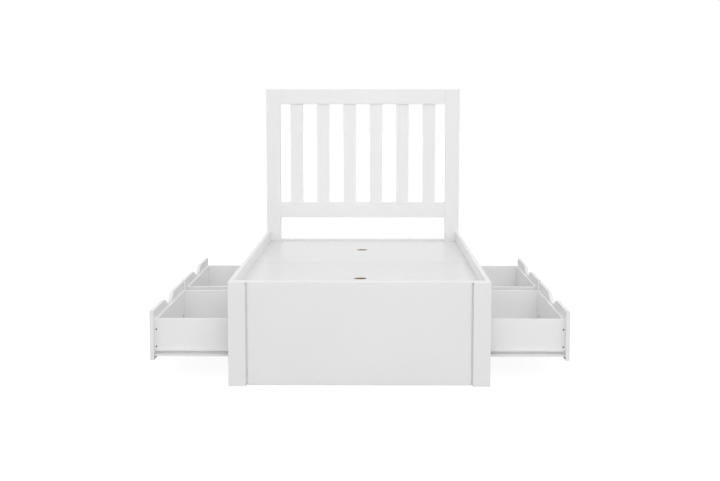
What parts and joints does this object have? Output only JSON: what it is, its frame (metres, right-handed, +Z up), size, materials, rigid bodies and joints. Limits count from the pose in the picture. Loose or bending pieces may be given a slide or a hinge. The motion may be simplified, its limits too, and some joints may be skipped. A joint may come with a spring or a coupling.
{
  "type": "single bed frame with drawers",
  "caption": "Single bed frame with a slatted headboard, a flush panel footboard, a lift-out deck and storage drawers on roller slides on both sides.",
  "frame": {"origin": "on the floor, under the middle of the bed", "axes": "+X across the bed, +Y along the bed towards the headboard, +Z up"},
  "size_m": [1.734, 2.03, 1.211],
  "materials": {
    "white_paint": "smooth satin white paint on solid wood and panel",
    "deck_board": "satin white board, raw brown core where the finger holes are cut",
    "drawer_box_paint": "smooth satin white panel",
    "raw_pine": "planed, unpainted",
    "slide_enamel": "white epoxy powder coat, gloss",
    "roller_nylon": "moulded white nylon",
    "screw_bronze": "dark bronze plated",
    "connector_zinc": "bright zinc plated"
  },
  "bodies": {
    "frame": {"cabinet_slides": "slide_enamel", "deck_panel_foot": "deck_board", "deck_panel_head": "deck_board", "deck_supports": "raw_pine", "foot_post_left": "white_paint", "foot_post_right": "white_paint", "footboard_panel": "white_paint", "head_cross_rail": "white_paint", "head_post_left": "white_paint", "head_post_right": "white_paint", "headboard_lower_rail": "white_paint", "headboard_slat_1": "white_paint", "headboard_slat_2": "white_paint", "headboard_slat_3": "white_paint", "headboard_slat_4": "white_paint", "headboard_slat_5": "white_paint", "headboard_slat_6": "white_paint", "headboard_top_rail": "white_paint", "partition_boards": "white_paint", "plinth_rails": "white_paint", "rail_connectors": "connector_zinc", "side_rail_left": "white_paint", "side_rail_right": "white_paint", "side_stiles": "white_paint"},
    "drawer_left_foot": {"drawer_left_foot_bottom": "drawer_box_paint", "drawer_left_foot_box_back": "drawer_box_paint", "drawer_left_foot_box_front": "drawer_box_paint", "drawer_left_foot_box_sides": "drawer_box_paint", "drawer_left_foot_front": "white_paint", "drawer_left_foot_screws": "screw_bronze", "drawer_left_foot_slide_members": "slide_enamel"},
    "drawer_left_foot_rear_rollers": {"drawer_left_foot_rear_rollers": "roller_nylon"},
    "bay_left_foot_front_rollers": {"bay_left_foot_front_rollers": "roller_nylon"},
    "drawer_left_head": {"drawer_left_head_bottom": "drawer_box_paint", "drawer_left_head_box_back": "drawer_box_paint", "drawer_left_head_box_front": "drawer_box_paint", "drawer_left_head_box_sides": "drawer_box_paint", "drawer_left_head_front": "white_paint", "drawer_left_head_screws": "screw_bronze", "drawer_left_head_slide_members": "slide_enamel"},
    "drawer_left_head_rear_rollers": {"drawer_left_head_rear_rollers": "roller_nylon"},
    "bay_left_head_front_rollers": {"bay_left_head_front_rollers": "roller_nylon"},
    "drawer_right_foot": {"drawer_right_foot_bottom": "drawer_box_paint", "drawer_right_foot_box_back": "drawer_box_paint", "drawer_right_foot_box_front": "drawer_box_paint", "drawer_right_foot_box_sides": "drawer_box_paint", "drawer_right_foot_front": "white_paint", "drawer_right_foot_screws": "screw_bronze", "drawer_right_foot_slide_members": "slide_enamel"},
    "drawer_right_foot_rear_rollers": {"drawer_right_foot_rear_rollers": "roller_nylon"},
    "bay_right_foot_front_rollers": {"bay_right_foot_front_rollers": "roller_nylon"},
    "drawer_right_head": {"drawer_right_head_bottom": "drawer_box_paint", "drawer_right_head_box_back": "drawer_box_paint", "drawer_right_head_box_front": "drawer_box_paint", "drawer_right_head_box_sides": "drawer_box_paint", "drawer_right_head_front": "white_paint", "drawer_right_head_screws": "screw_bronze", "drawer_right_head_slide_members": "slide_enamel"},
    "drawer_right_head_rear_rollers": {"drawer_right_head_rear_rollers": "roller_nylon"},
    "bay_right_head_front_rollers": {"bay_right_head_front_rollers": "roller_nylon"}
  },
  "joints": [
    {"name": "drawer_left_foot_slide", "type": "slide", "parent": "frame", "child": "drawer_left_foot", "axis": [-1, 0, 0], "range_m": [-0.337, 0]},
    {"name": "drawer_left_foot_rear_roll", "type": "hinge", "parent": "drawer_left_foot", "child": "drawer_left_foot_rear_rollers", "pos_m": [-0.416, -0.461, 0.1155], "axis": [0, -1, 0], "continuous": true},
    {"name": "bay_left_foot_front_roll", "type": "hinge", "parent": "frame", "child": "bay_left_foot_front_rollers", "pos_m": [-0.5, -0.461, 0.1147], "axis": [0, -1, 0], "continuous": true},
    {"name": "drawer_left_head_slide", "type": "slide", "parent": "frame", "child": "drawer_left_head", "axis": [-1, 0, 0], "range_m": [-0.337, 0]},
    {"name": "drawer_left_head_rear_roll", "type": "hinge", "parent": "drawer_left_head", "child": "drawer_left_head_rear_rollers", "pos_m": [-0.416, 0.461, 0.1155], "axis": [0, -1, 0], "continuous": true},
    {"name": "bay_left_head_front_roll", "type": "hinge", "parent": "frame", "child": "bay_left_head_front_rollers", "pos_m": [-0.5, 0.461, 0.1147], "axis": [0, -1, 0], "continuous": true},
    {"name": "drawer_right_foot_slide", "type": "slide", "parent": "frame", "child": "drawer_right_foot", "axis": [1, 0, 0], "range_m": [-0.337, 0]},
    {"name": "drawer_right_foot_rear_roll", "type": "hinge", "parent": "drawer_right_foot", "child": "drawer_right_foot_rear_rollers", "pos_m": [0.416, -0.461, 0.1155], "axis": [0, 1, 0], "continuous": true},
    {"name": "bay_right_foot_front_roll", "type": "hinge", "parent": "frame", "child": "bay_right_foot_front_rollers", "pos_m": [0.5, -0.461, 0.1147], "axis": [0, 1, 0], "continuous": true},
    {"name": "drawer_right_head_slide", "type": "slide", "parent": "frame", "child": "drawer_right_head", "axis": [1, 0, 0], "range_m": [-0.337, 0]},
    {"name": "drawer_right_head_rear_roll", "type": "hinge", "parent": "drawer_right_head", "child": "drawer_right_head_rear_rollers", "pos_m": [0.416, 0.461, 0.1155], "axis": [0, 1, 0], "continuous": true},
    {"name": "bay_right_head_front_roll", "type": "hinge", "parent": "frame", "child": "bay_right_head_front_rollers", "pos_m": [0.5, 0.461, 0.1147], "axis": [0, 1, 0], "continuous": true}
  ],
  "couplings": [
    {"joint": "drawer_left_foot_rear_roll", "follows": "drawer_left_foot_slide", "rad_per_m": -125},
    {"joint": "bay_left_foot_front_roll", "follows": "drawer_left_foot_slide", "rad_per_m": 142.86},
    {"joint": "drawer_left_head_rear_roll", "follows": "drawer_left_head_slide", "rad_per_m": -125},
    {"joint": "bay_left_head_front_roll", "follows": "drawer_left_head_slide", "rad_per_m": 142.86},
    {"joint": "drawer_right_foot_rear_roll", "follows": "drawer_right_foot_slide", "rad_per_m": -125},
    {"joint": "bay_right_foot_front_roll", "follows": "drawer_right_foot_slide", "rad_per_m": 142.86},
    {"joint": "drawer_right_head_rear_roll", "follows": "drawer_right_head_slide", "rad_per_m": -125},
    {"joint": "bay_right_head_front_roll", "follows": "drawer_right_head_slide", "rad_per_m": 142.86}
  ]
}
